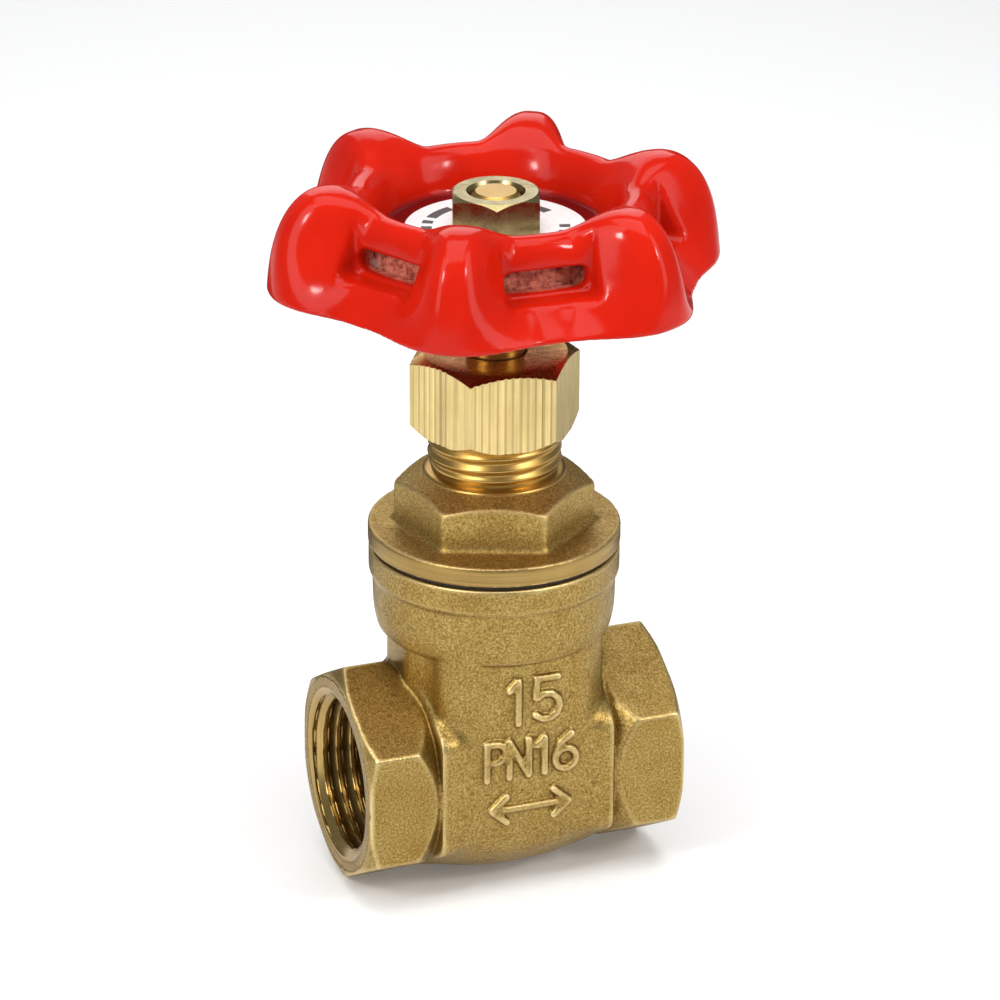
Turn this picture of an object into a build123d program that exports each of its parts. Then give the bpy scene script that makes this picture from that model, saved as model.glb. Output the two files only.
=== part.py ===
from build123d import *
import math
import os

# Small screwed gate valve, DN 15, with a non-rising stem and a cast handwheel.
# Millimetres, +Z up. The origin is where the flow axis (X) meets the stem axis (Z).
# The flow axis runs through two threaded ends, and the wheel is at the top.
# Screw threads are plain cylinders, and the raised marks are left off the chamber.

# Flow way and the two threaded ends
END_TO_END = 41.2
HEX_FLATS = 25.0
HEX_CORNER = HEX_FLATS / math.sqrt(3)
HEX_START_X = 14.3  # where the end hexagon's corners stop, next to the groove
END_FACE_R = 12.6  # the turned chamfer leaves this radius at the end face
END_CHAMFER = 1.0
COLLAR_X = (8.5, 11.8)  # hexagonal collar over each seat
GROOVE_R = 11.0
GROOVE_X = 10.2
PORT_R = 9.3  # wall of the G 1/2 internal thread
PORT_MOUTH_R = 10.7
PORT_CHAMFER = 1.4
PORT_DEPTH = 10.0
BORE_R = 6.35

# Chamber round the wedge, outside and inside
CHAMBER_PLAN = ((12.8, 3.5), (11.1, 9.4), (8.5, 12.6))  # corners of one quarter, seen from above
CHAMBER_BOTTOM_R = 14.1  # round the flow axis
CHAMBER_KEEL_R = 36.0  # of the bottom's curve along the flow axis
CAVITY_SIZE = (15.0, 22.0)
CAVITY_CORNER_R = 3.5
CAVITY_BOTTOM_R = 11.4
GUIDE_WIDTH = 2.0
GUIDE_INNER_Y = 9.4

# Bowl at the top of the body
BOWL_FOOT = (14.3, 18.0)  # radius, height
BOWL_UNDERSIDE = (12.0, 17.0)
BOWL_WALL = ((14.75, 19.3), (14.9, 24.2))
BODY_RING = (15.35, 25.0)
BODY_TOP_Z = 28.3
SOCKET_R = 12.25
SOCKET_FLOOR_Z = 22.0

# Wedge and seats
SEAT_R = 8.6
WEDGE_R = 8.6
WEDGE_HALF_T = 4.85  # half thickness at the flow axis
WEDGE_ANGLE = 3.0
SEAT_GAP = 0.03
EAR_SIZE = (5.2, 20.8)  # thickness, span across the flow
EAR_Z = (-4.0, 6.0)
GUIDE_PLAY = 0.15
BOSS_R = 5.0
BOSS_TOP_Z = 13.5
WEDGE_HOLE_BOTTOM_Z = -7.4

# Stem
LIFT_THREAD_R = 3.0
THREAD_PLAY = 0.05
STEM_R = 3.6
STEM_PLAY = 0.05
STEM_END_Z = 8.5
LIFT_THREAD_TOP_Z = 29.6
STEM_COLLAR_R = 6.4
STEM_COLLAR_Z = (32.5, 34.9)
STEM_SQUARE = 6.2
STEM_SQUARE_Z = (62.0, 68.6)
TOP_THREAD_R = 2.95
STEM_TOP_Z = 73.7
STEM_CHAMFER = 0.5

# Bonnet and what it holds
GASKET_T = 0.5
GASKET_R = 14.7
FLANGE_R = 15.42
FLANGE_TOP_Z = 31.26
SKIRT_R = 12.2
SKIRT_BOTTOM_Z = 22.2
SKIRT_BORE_R = 9.8
BONNET_HEX_FLATS = 21.4
BONNET_HEX_TURN = -21.0  # one side faces this way, turned from -Y about +Z
SHOULDER = ((12.2, 36.1), (8.7, 37.9))  # from the hexagon up to the neck
NECK_R = 8.15
NECK_TOP_Z = 49.4
NECK_CHAMFER = 0.6
NECK_BEAD = (8.7, 37.0, 38.3)  # radius, bottom and top
RING_R = 7.5
RING_Z = (30.0, 32.4)
COLLAR_BORE_R = 6.5
THRUST_WASHER_Z = (35.0, 35.6)
STUFFING_R = 6.3
STUFFING_FLOOR_Z = 40.0
PACKING_T = 2.0
PACKING_NAMES = ("lower", "middle", "upper")
GLAND_FLANGE_R = 7.9
GLAND_FLANGE_Z = (49.6, 50.3)
FIT_PLAY = 0.03  # between pieces that are screwed or pressed together

# Packing nut
NUT_CORNER_R = 10.55
NUT_Z = (43.5, 53.4)
NUT_CORNER_TURN = -37.0  # one corner points this way, turned from -Y about +Z
NUT_TOP_FACE_R = 8.7
NUT_BOTTOM_FACE_R = 9.3
NUT_TOP_CHAMFER = 1.0
NUT_BOTTOM_CHAMFER = 1.1
NUT_ROOF_Z = 50.3
NUT_STEM_HOLE_R = 3.8

# Handwheel, its plate and its nut
LOBE_COUNT = 6
LOBE_TURN = -32.4  # one lobe points this way, turned from -Y about +Z
WHEEL_BOTTOM_Z = 63.2
WHEEL_TOP_Z = 76.4
# Outside of the wheel: height, radius at the lobes, radius at the valleys
WHEEL_SECTIONS = ((63.2, 28.2, 25.0), (67.5, 27.4, 22.8), (72.0, 25.2, 19.8), (76.4, 21.6, 17.8))
WHEEL_WALL = 2.3
WHEEL_HOLLOW_TOP_Z = 73.4
RECESS_R = (13.5, 16.0)  # at the web and at the top
RECESS_WALL_R = 15.8
WEB_Z = (66.2, 68.7)
HUB_R = 7.0
VALLEY_DIP = (11.0, 2.3)  # width and depth of the dip in the rim between two lobes
WINDOW_SIZE = (10.5, 3.0)
WINDOW_MIDDLE_Z = 69.0
WINDOW_BACK_R = 16.4  # the slots open into the hollow under the rim, not into the recess
PLATE_R = 10.9
PLATE_T = 0.4
WHEEL_NUT_FLATS = 10.3
WHEEL_NUT_CORNER_TURN = -19.5
WHEEL_NUT_CHAMFER = 0.6
NUT_BORE_PLAY = 0.05


def turned(points):
    """Solid of revolution about the stem axis from (radius, height) points."""
    return revolve(Plane.XZ * make_face(Polyline(*points, close=True)), Axis.Z)


def turned_on_flow_axis(points):
    """Solid of revolution about the flow axis from (distance along X, radius) points."""
    return revolve(make_face(Polyline(*points, close=True)), Axis.X)


def disc(radius, bottom, top):
    return Pos(0, 0, bottom) * extrude(Circle(radius), amount=top - bottom)


def ring(outer, inner, bottom, top):
    return disc(outer, bottom, top) - disc(inner, bottom, top)


def flow_rod(radius, half_length):
    """Rod along the flow axis, the same length both ways."""
    return extrude(Plane.YZ * Circle(radius), amount=half_length, both=True)


def both_ways(solid):
    """The solid and its mirror image at the other end of the flow way."""
    return solid + mirror(solid, Plane.YZ)


def hexagon(corner_r, corner_turn):
    """Hexagon in plan with one corner in the given direction, turned from -Y about +Z."""
    return Rot(0, 0, corner_turn - 90) * RegularPolygon(corner_r, 6)


def end_outline():
    """One hexagonal end, coned at both edges, and the hexagonal collar beyond its groove."""
    half = END_TO_END / 2
    outline = Plane.YZ * Rot(0, 0, 90) * RegularPolygon(HEX_CORNER, 6)
    bar = extrude(outline, amount=half)
    collar = Pos(COLLAR_X[0], 0, 0) * extrude(outline, amount=COLLAR_X[1] - COLLAR_X[0])
    envelope = turned_on_flow_axis([
        (0, 0),
        (0, GROOVE_R),
        (GROOVE_X, GROOVE_R),
        (HEX_START_X, HEX_CORNER),
        (half - END_CHAMFER, HEX_CORNER),
        (half, END_FACE_R),
        (half, 0),
    ])
    return (bar & envelope) + collar


def chamber_outline():
    """Chamber with flat front and back, faceted sides, corners flush with the bowl and a barrel bottom."""
    quarter = list(CHAMBER_PLAN)
    front = [(x, -y) for x, y in quarter] + [(-x, -y) for x, y in reversed(quarter)]
    back = [(-x, y) for x, y in quarter] + [(x, y) for x, y in reversed(quarter)]
    plan = make_face(Polyline(*front, *back, close=True)) & Circle(BOWL_FOOT[0])
    length = 2 * quarter[0][0]
    prism = extrude(plan, amount=BOWL_FOOT[1])
    keel = extrude(plan, amount=-CHAMBER_BOTTOM_R) & flow_rod(CHAMBER_BOTTOM_R, length)
    barrel = Plane.XZ * Pos(0, CHAMBER_KEEL_R - CHAMBER_BOTTOM_R) * Circle(CHAMBER_KEEL_R)
    return prism + (keel & extrude(barrel, amount=length, both=True))


def bowl_outline():
    return turned([
        (0, BOWL_UNDERSIDE[1]),
        BOWL_UNDERSIDE,
        BOWL_FOOT,
        *BOWL_WALL,
        BODY_RING,
        (BODY_RING[0], BODY_TOP_Z),
        (0, BODY_TOP_Z),
    ])


def wedge_profile(gap):
    """Tapered block through the seats; the gap widens it at each face."""
    lean = math.tan(math.radians(WEDGE_ANGLE))
    low = WEDGE_HALF_T - 2 * WEDGE_R * lean + gap
    high = WEDGE_HALF_T + 2 * WEDGE_R * lean + gap
    reach = 2 * WEDGE_R
    face = make_face(Polyline((-low, -reach), (low, -reach), (high, reach), (-high, reach), close=True))
    return extrude(Plane.XZ * face, amount=WEDGE_R * 2, both=True)


def chamber_cavity():
    """Room for the wedge, less the two seats and the two guide ribs that stand into it."""
    length, width = CAVITY_SIZE
    room = extrude(RectangleRounded(length, width, CAVITY_CORNER_R), amount=SOCKET_FLOOR_Z)
    keel = extrude(RectangleRounded(length, width, CAVITY_CORNER_R), amount=-CAVITY_BOTTOM_R)
    room = room + (keel & flow_rod(CAVITY_BOTTOM_R, length))
    seats = flow_rod(SEAT_R, length) - wedge_profile(SEAT_GAP)
    guide = Pos(0, (GUIDE_INNER_Y + width) / 2, 0) * Box(GUIDE_WIDTH, width - GUIDE_INNER_Y, 4 * SEAT_R)
    guides = guide + mirror(guide, Plane.XZ)
    return room - seats - guides


def port():
    """Threaded socket with its chamfered mouth, open at +X."""
    face = END_TO_END / 2
    return turned_on_flow_axis([
        (face - PORT_DEPTH, 0),
        (face - PORT_DEPTH, PORT_R),
        (face - PORT_CHAMFER, PORT_R),
        (face, PORT_MOUTH_R),
        (face, 0),
    ])


def make_body():
    outside = both_ways(end_outline()) + chamber_outline() + bowl_outline()
    socket = disc(SOCKET_R, SOCKET_FLOOR_Z, BODY_TOP_Z)
    inside = chamber_cavity() + socket
    return outside - inside - both_ways(port()) - flow_rod(BORE_R, END_TO_END)


def make_wedge():
    """Tapered disc with an ear at each side, grooved for the guide ribs, and a threaded boss."""
    plug = flow_rod(WEDGE_R, END_TO_END) & wedge_profile(0)
    ears = Pos(0, 0, EAR_Z[0]) * extrude(Rectangle(*EAR_SIZE), amount=EAR_Z[1] - EAR_Z[0])
    groove_depth = EAR_SIZE[1] / 2 - GUIDE_INNER_Y + GUIDE_PLAY
    groove_y = EAR_SIZE[1] / 2 - groove_depth / 2
    groove = Pos(0, groove_y, 0) * Box(GUIDE_WIDTH + 2 * GUIDE_PLAY, groove_depth, 3 * SEAT_R)
    grooves = groove + mirror(groove, Plane.XZ)
    hole = disc(LIFT_THREAD_R + THREAD_PLAY, WEDGE_HOLE_BOTTOM_Z, BOSS_TOP_Z)
    boss = disc(BOSS_R, EAR_Z[1], BOSS_TOP_Z)
    return plug + ears + boss - grooves - hole


def make_stem():
    round_part = turned([
        (0, STEM_END_Z),
        (LIFT_THREAD_R - STEM_CHAMFER, STEM_END_Z),
        (LIFT_THREAD_R, STEM_END_Z + STEM_CHAMFER),
        (LIFT_THREAD_R, LIFT_THREAD_TOP_Z),
        (STEM_R, LIFT_THREAD_TOP_Z),
        (STEM_R, STEM_COLLAR_Z[0]),
        (STEM_COLLAR_R, STEM_COLLAR_Z[0]),
        (STEM_COLLAR_R, STEM_COLLAR_Z[1]),
        (STEM_R, STEM_COLLAR_Z[1]),
        (STEM_R, STEM_SQUARE_Z[0]),
        (0, STEM_SQUARE_Z[0]),
    ])
    square = extrude(Rectangle(STEM_SQUARE, STEM_SQUARE), amount=STEM_SQUARE_Z[1])
    square = square & disc(STEM_R, *STEM_SQUARE_Z)
    top_thread = turned([
        (0, STEM_SQUARE_Z[0]),
        (TOP_THREAD_R, STEM_SQUARE_Z[0]),
        (TOP_THREAD_R, STEM_TOP_Z - STEM_CHAMFER),
        (TOP_THREAD_R - STEM_CHAMFER, STEM_TOP_Z),
        (0, STEM_TOP_Z),
    ])
    return round_part + square + top_thread


def make_bonnet():
    flange_bottom = BODY_TOP_Z + GASKET_T
    bead_r, bead_bottom, bead_top = NECK_BEAD
    corner_r = BONNET_HEX_FLATS / math.sqrt(3)
    prism = Pos(0, 0, flange_bottom) * extrude(
        hexagon(corner_r, BONNET_HEX_TURN + 30), amount=bead_top - flange_bottom
    )
    envelope = turned([
        (0, flange_bottom),
        (SHOULDER[0][0], flange_bottom),
        *SHOULDER,
        (0, SHOULDER[-1][1]),
    ])
    neck = turned([
        (0, flange_bottom),
        (NECK_R, flange_bottom),
        (NECK_R, NECK_TOP_Z - NECK_CHAMFER),
        (NECK_R - NECK_CHAMFER, NECK_TOP_Z),
        (0, NECK_TOP_Z),
    ])
    bead = disc(bead_r, bead_bottom, bead_top)
    outside = disc(FLANGE_R, flange_bottom, FLANGE_TOP_Z) + (prism & envelope) + neck + bead
    outside = outside + disc(SKIRT_R, SKIRT_BOTTOM_Z, flange_bottom)
    inside = turned([
        (0, SKIRT_BOTTOM_Z),
        (SKIRT_BORE_R, SKIRT_BOTTOM_Z),
        (SKIRT_BORE_R, RING_Z[0]),
        (RING_R + FIT_PLAY, RING_Z[0]),
        (RING_R + FIT_PLAY, RING_Z[1] + FIT_PLAY),
        (COLLAR_BORE_R, RING_Z[1] + FIT_PLAY),
        (COLLAR_BORE_R, THRUST_WASHER_Z[1]),
        (STEM_R + STEM_PLAY, THRUST_WASHER_Z[1]),
        (STEM_R + STEM_PLAY, STUFFING_FLOOR_Z),
        (STUFFING_R, STUFFING_FLOOR_Z),
        (STUFFING_R, NECK_TOP_Z),
        (0, NECK_TOP_Z),
    ])
    return outside - inside


def make_packing_ring(place):
    """One of the three packing rings, counted from the bottom of the stuffing box."""
    bottom = STUFFING_FLOOR_Z + place * PACKING_T
    return ring(STUFFING_R - FIT_PLAY, STEM_R + STEM_PLAY, bottom, bottom + PACKING_T)


def make_gland():
    """Flanged sleeve between the packing and the roof of the packing nut."""
    packing_top = STUFFING_FLOOR_Z + len(PACKING_NAMES) * PACKING_T
    sleeve = disc(STUFFING_R - FIT_PLAY, packing_top, GLAND_FLANGE_Z[1])
    flange = disc(GLAND_FLANGE_R, *GLAND_FLANGE_Z)
    return sleeve + flange - disc(STEM_R + STEM_PLAY, packing_top, GLAND_FLANGE_Z[1])


def make_packing_nut():
    bottom, top = NUT_Z
    bar = Pos(0, 0, bottom) * extrude(hexagon(NUT_CORNER_R, NUT_CORNER_TURN), amount=top - bottom)
    envelope = turned([
        (0, bottom),
        (NUT_BOTTOM_FACE_R, bottom),
        (NUT_CORNER_R, bottom + NUT_BOTTOM_CHAMFER),
        (NUT_CORNER_R, top - NUT_TOP_CHAMFER),
        (NUT_TOP_FACE_R, top),
        (0, top),
    ])
    thread = disc(NECK_R + FIT_PLAY, bottom, NUT_ROOF_Z)
    return (bar & envelope) - thread - disc(NUT_STEM_HOLE_R, bottom, top)


def wheel_outline(lobe_r, valley_r, height):
    """Closed wavy outline: as far out as lobe_r at the lobes and valley_r between them."""
    points = []
    for step in range(4 * LOBE_COUNT):
        turn = LOBE_TURN + step * 90 / LOBE_COUNT
        swing = math.cos(math.radians(LOBE_COUNT * (turn - LOBE_TURN)))
        radius = (lobe_r + valley_r) / 2 + swing * (lobe_r - valley_r) / 2
        angle = math.radians(turn - 90)
        points.append((radius * math.cos(angle), radius * math.sin(angle)))
    return Pos(0, 0, height) * make_face(Spline(*points, periodic=True))


def round_the_wheel(solid, half_steps):
    """The solid, placed along +X, repeated at each lobe (half_steps 0) or each valley (half_steps 1)."""
    pitch = 360 / LOBE_COUNT
    first = LOBE_TURN - 90 + half_steps * pitch / 2
    copies = [Rot(0, 0, first + place * pitch) * solid for place in range(LOBE_COUNT)]
    return copies[0].fuse(*copies[1:])


def make_handwheel():
    """Cast wheel: a wavy hollow rim with a slot in each valley, a dished web and a square hub."""
    outside = loft([wheel_outline(lobe, valley, height) for height, lobe, valley in WHEEL_SECTIONS])
    recess = turned([
        (0, WEB_Z[1]),
        (RECESS_R[0], WEB_Z[1]),
        (RECESS_R[1], WHEEL_TOP_Z),
        (0, WHEEL_TOP_Z),
    ])
    hollow = loft([
        wheel_outline(lobe - WHEEL_WALL, valley - WHEEL_WALL, height)
        for height, lobe, valley in WHEEL_SECTIONS[:3]
    ])
    hollow = hollow & disc(2 * FLANGE_R, WHEEL_BOTTOM_Z, WHEEL_HOLLOW_TOP_Z)
    hollow = hollow - disc(RECESS_WALL_R, WEB_Z[0], WHEEL_TOP_Z)
    window_length, window_height = WINDOW_SIZE
    reach = 2 * FLANGE_R - RECESS_R[0]
    window = Pos(WINDOW_BACK_R + reach / 2, 0, WINDOW_MIDDLE_Z) * Box(reach, window_length, window_height)
    dip_width, dip_depth = VALLEY_DIP
    dip = Pos(RECESS_R[0] + reach / 2, 0, WHEEL_TOP_Z) * Box(reach, dip_width, 2 * dip_depth)
    wheel = outside - recess - hollow - round_the_wheel(window, 1) - round_the_wheel(dip, 1)
    hub = disc(HUB_R, STEM_SQUARE_Z[0], WEB_Z[1])
    hole_side = STEM_SQUARE + 2 * FIT_PLAY
    hole = extrude(Rectangle(hole_side, hole_side), amount=WHEEL_TOP_Z)
    hole = hole & disc(STEM_R + FIT_PLAY, STEM_SQUARE_Z[0], WHEEL_TOP_Z)
    return wheel + hub - hole


def make_handwheel_nut():
    bottom = WEB_Z[1] + PLATE_T
    corner_r = WHEEL_NUT_FLATS / math.sqrt(3)
    bar = Pos(0, 0, bottom) * extrude(hexagon(corner_r, WHEEL_NUT_CORNER_TURN), amount=STEM_TOP_Z - bottom)
    face_r = WHEEL_NUT_FLATS / 2 - 0.1
    envelope = turned([
        (0, bottom),
        (corner_r, bottom),
        (corner_r, STEM_TOP_Z - WHEEL_NUT_CHAMFER),
        (face_r, STEM_TOP_Z),
        (0, STEM_TOP_Z),
    ])
    countersink = turned([
        (0, STEM_TOP_Z - 2 * WHEEL_NUT_CHAMFER),
        (TOP_THREAD_R, STEM_TOP_Z - 2 * WHEEL_NUT_CHAMFER),
        (TOP_THREAD_R + WHEEL_NUT_CHAMFER, STEM_TOP_Z),
        (0, STEM_TOP_Z),
    ])
    return (bar & envelope) - disc(TOP_THREAD_R + NUT_BORE_PLAY, bottom, STEM_TOP_Z) - countersink


def make_parts():
    flange_bottom = BODY_TOP_Z + GASKET_T
    plate_top = WEB_Z[1] + PLATE_T
    parts = {
        "body": make_body(),
        "wedge": make_wedge(),
        "stem": make_stem(),
        "bonnet": make_bonnet(),
        "bonnet_gasket": ring(GASKET_R, SOCKET_R, BODY_TOP_Z, flange_bottom),
        "retaining_ring": ring(RING_R, STEM_R + STEM_PLAY, *RING_Z),
        "thrust_washer": ring(COLLAR_BORE_R - FIT_PLAY, STEM_R + STEM_PLAY, *THRUST_WASHER_Z),
        "packing_gland": make_gland(),
        "packing_nut": make_packing_nut(),
        "handwheel": make_handwheel(),
        "id_plate": ring(PLATE_R, TOP_THREAD_R + NUT_BORE_PLAY, WEB_Z[1], plate_top),
        "handwheel_nut": make_handwheel_nut(),
    }
    for place, name in enumerate(PACKING_NAMES):
        parts["packing_ring_" + name] = make_packing_ring(place)
    return parts


os.makedirs("parts", exist_ok=True)
for node, solid in make_parts().items():
    export_step(solid, "parts/" + node + ".step")
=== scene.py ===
import math

import bpy
import numpy as np
from mathutils import Matrix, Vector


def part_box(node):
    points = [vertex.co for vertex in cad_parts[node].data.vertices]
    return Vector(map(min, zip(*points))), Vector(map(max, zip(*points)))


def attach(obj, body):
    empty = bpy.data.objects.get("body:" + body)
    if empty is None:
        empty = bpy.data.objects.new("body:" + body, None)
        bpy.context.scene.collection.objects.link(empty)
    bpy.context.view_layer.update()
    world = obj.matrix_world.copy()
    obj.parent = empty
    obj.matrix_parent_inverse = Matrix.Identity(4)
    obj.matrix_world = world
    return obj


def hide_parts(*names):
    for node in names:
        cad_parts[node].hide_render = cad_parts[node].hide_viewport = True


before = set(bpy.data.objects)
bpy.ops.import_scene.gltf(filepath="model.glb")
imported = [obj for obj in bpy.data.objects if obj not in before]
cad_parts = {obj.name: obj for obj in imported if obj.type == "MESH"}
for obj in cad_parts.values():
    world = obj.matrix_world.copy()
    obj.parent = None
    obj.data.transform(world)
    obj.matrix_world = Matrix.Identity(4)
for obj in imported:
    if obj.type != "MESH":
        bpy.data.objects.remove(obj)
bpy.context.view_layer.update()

# Lengths are in millimetres up to the point where a mesh, light or camera is made.
# The origin is where the flow axis (X) meets the stem axis (Z), as in the frame.
MM = 0.001

# Fineness: the grid steps of the castings, the points round a ring, and the rings in a thread's pitch
BODY_STEP = 0.27
BONNET_STEP = 0.25
WHEEL_STEP = 0.3
AROUND = 256
NUT_AROUND = 1080
RINGS_A_PITCH = 20

ROOT_BODY = "valve_body"
SPINDLE_BODY = "spindle"


def node_box(node):
    """Lowest and highest corner of a node of the frame, in millimetres."""
    low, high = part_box(node)
    return np.array(low) / MM, np.array(high) / MM


STEM_HOLE_R = 3.65
BODY_LOW, BODY_HIGH = node_box("body")
BONNET_LOW, BONNET_HIGH = node_box("bonnet")
NUT_LOW, NUT_HIGH = node_box("packing_nut")
WHEEL_LOW, WHEEL_HIGH = node_box("handwheel")
PLATE_LOW, PLATE_HIGH = node_box("id_plate")


# ---- fields: each returns about the distance to a surface, negative inside ----

def smooth_min(a, b, blend):
    """Union of two fields with a fillet about as wide as blend."""
    share = np.clip(0.5 + 0.5 * (b - a) / blend, 0.0, 1.0)
    return b * (1 - share) + a * share - blend * share * (1 - share)


def smooth_max(a, b, blend):
    """Intersection of two fields with a rounded edge about as wide as blend."""
    return -smooth_min(-a, -b, blend)


def slab(value, low, high):
    """Between two parallel planes."""
    return np.maximum(low - value, value - high)


def rounded_rectangle(u, v, half_u, half_v, corner):
    du = np.abs(u) - half_u + corner
    dv = np.abs(v) - half_v + corner
    outer = np.hypot(np.maximum(du, 0), np.maximum(dv, 0))
    return outer + np.minimum(np.maximum(du, dv), 0) - corner


def line_side(u, v, start, end):
    """Signed distance from the line through two points; positive on its right-hand side."""
    du, dv = end[0] - start[0], end[1] - start[1]
    length = math.hypot(du, dv)
    return ((u - start[0]) * dv - (v - start[1]) * du) / length


def segment_distance(u, v, start, end):
    du, dv = end[0] - start[0], end[1] - start[1]
    along = ((u - start[0]) * du + (v - start[1]) * dv) / (du * du + dv * dv)
    along = np.clip(along, 0, 1)
    return np.hypot(u - start[0] - along * du, v - start[1] - along * dv)


# ---- meshing ----

def grid(low, high, step):
    """Coordinates of a regular grid round a box, as three arrays that broadcast together."""
    axes = [np.arange(a - 2 * step, b + 3 * step, step) for a, b in zip(low, high)]
    x, y, z = np.meshgrid(*axes, indexing="ij", sparse=True)
    origin = np.array([axis[0] for axis in axes])
    return x, y, z, origin


def surface_net(field, origin, step):
    """Vertices and quads of the surface where a sampled field changes sign."""
    cells = tuple(n - 1 for n in field.shape)
    cell_count = int(np.prod(cells))
    sums = np.zeros((cell_count, 3))
    counts = np.zeros(cell_count)
    quads = []
    for axis in range(3):
        u, v = (axis + 1) % 3, (axis + 2) % 3
        low_end = [slice(None)] * 3
        low_end[axis] = slice(0, -1)
        high_end = [slice(None)] * 3
        high_end[axis] = slice(1, None)
        changes = (field[tuple(low_end)] < 0) != (field[tuple(high_end)] < 0)
        edges = np.argwhere(changes)
        inner = (edges[:, u] > 0) & (edges[:, u] < cells[u]) & (edges[:, v] > 0) & (edges[:, v] < cells[v])
        edges = edges[inner]
        far = edges.copy()
        far[:, axis] += 1
        near_value = field[tuple(edges.T)]
        far_value = field[tuple(far.T)]
        points = edges.astype(float)
        points[:, axis] += near_value / (near_value - far_value)
        around = []
        for step_u, step_v in ((-1, -1), (0, -1), (0, 0), (-1, 0)):
            cell = edges.copy()
            cell[:, u] += step_u
            cell[:, v] += step_v
            index = np.ravel_multi_index(cell.T, cells)
            around.append(index)
            counts += np.bincount(index, minlength=cell_count)
            for k in range(3):
                sums[:, k] += np.bincount(index, points[:, k], cell_count)
        around = np.stack(around, axis=1)
        flipped = near_value > 0
        around[flipped] = around[flipped][:, ::-1]
        quads.append(around)
    used = counts > 0
    number = np.cumsum(used) - 1
    vertices = origin + step * sums[used] / counts[used][:, None]
    return vertices, number[np.concatenate(quads)]


def neighbour_mean(values, quads):
    """Mean of the values at the neighbours of each vertex."""
    ends = np.concatenate([quads[:, [k, (k + 1) % 4]] for k in range(4)])
    total = len(values)
    degree = np.bincount(ends[:, 0], minlength=total) + np.bincount(ends[:, 1], minlength=total)
    mean = np.empty_like(values)
    for k in range(values.shape[1]):
        mean[:, k] = np.bincount(ends[:, 0], values[ends[:, 1], k], total)
        mean[:, k] += np.bincount(ends[:, 1], values[ends[:, 0], k], total)
    return mean / degree[:, None]


def relax(vertices, quads, rounds):
    """Moves each vertex towards the mean of its neighbours, then back a little, so that nothing shrinks."""
    for _ in range(rounds):
        for factor in (0.5, -0.47):
            vertices = vertices + factor * (neighbour_mean(vertices, quads) - vertices)
    return vertices


def mesh_field(field_at, low, high, step, rounds):
    """Vertices and quads of the surface where a field is zero, sampled in a box and relaxed a little."""
    x, y, z, origin = grid(low, high, step)
    vertices, quads = surface_net(field_at(x, y, z).astype(np.float32), origin, step)
    return relax(vertices, quads, rounds), quads


def bend_values(vertices, quads):
    """How far each vertex stands out from its surroundings: above 0 on edges and below 0 in hollows."""
    corners = vertices[quads]
    facing = np.cross(corners[:, 2] - corners[:, 0], corners[:, 3] - corners[:, 1])
    normals = np.empty_like(vertices)
    for k in range(3):
        weights = np.repeat(facing[:, k], 4)
        normals[:, k] = np.bincount(quads.ravel(), weights, len(vertices))
    normals /= np.linalg.norm(normals, axis=1)[:, None] + 1e-12
    offset = vertices - neighbour_mean(vertices, quads)
    for _ in range(2):
        offset = neighbour_mean(offset, quads)
    return np.einsum("ij,ij->i", offset, normals)


def loft(rings, close=True):
    """Quads between rings of points; with close, the last ring joins the first."""
    count = len(rings[0])
    vertices = np.concatenate(rings)
    start = np.arange(count)
    after = (start + 1) % count
    quads = []
    last = len(rings) if close else len(rings) - 1
    for k in range(last):
        here = k * count
        there = ((k + 1) % len(rings)) * count
        quads.append(np.stack([here + start, here + after, there + after, there + start], axis=1))
    return vertices, np.concatenate(quads).tolist()


def add_piece(name, vertices, faces, material, body, replaced=(), sharp_angle=None):
    """Makes one visible piece, which rides on a body and stands for the named nodes."""
    mesh = bpy.data.meshes.new(name)
    mesh.from_pydata((np.asarray(vertices) * MM).tolist(), [], faces)
    mesh.update()
    mesh.polygons.foreach_set("use_smooth", [True] * len(mesh.polygons))
    if sharp_angle is not None:
        mesh.set_sharp_from_angle(angle=math.radians(sharp_angle))
    piece = bpy.data.objects.new(name, mesh)
    bpy.context.scene.collection.objects.link(piece)
    mesh.materials.append(material)
    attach(piece, body)
    if replaced:
        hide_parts(*replaced)
    return piece


def store_bends(piece, values):
    """Stores the bend of the surface on the mesh, for materials with rubbed edges and a painted highlight on
    them, and painted shade in hollows.
    """
    attribute = piece.data.attributes.new("bend", "FLOAT", "POINT")
    attribute.data.foreach_set("value", values.astype(np.float32))


def thin_out(piece, limit):
    """Collapses the flattest parts of a dense mesh until it has at most about limit triangles."""
    triangles = 2 * len(piece.data.polygons)
    if triangles <= limit:
        return
    modifier = piece.modifiers.new("thin", "DECIMATE")
    modifier.ratio = limit / triangles
    depsgraph = bpy.context.evaluated_depsgraph_get()
    mesh = bpy.data.meshes.new_from_object(piece.evaluated_get(depsgraph))
    piece.modifiers.remove(modifier)
    piece.data = mesh
    mesh.polygons.foreach_set("use_smooth", [True] * len(mesh.polygons))


# ---- body: a casting with two hexagonal ends, a chamber and a bowl ----

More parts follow.
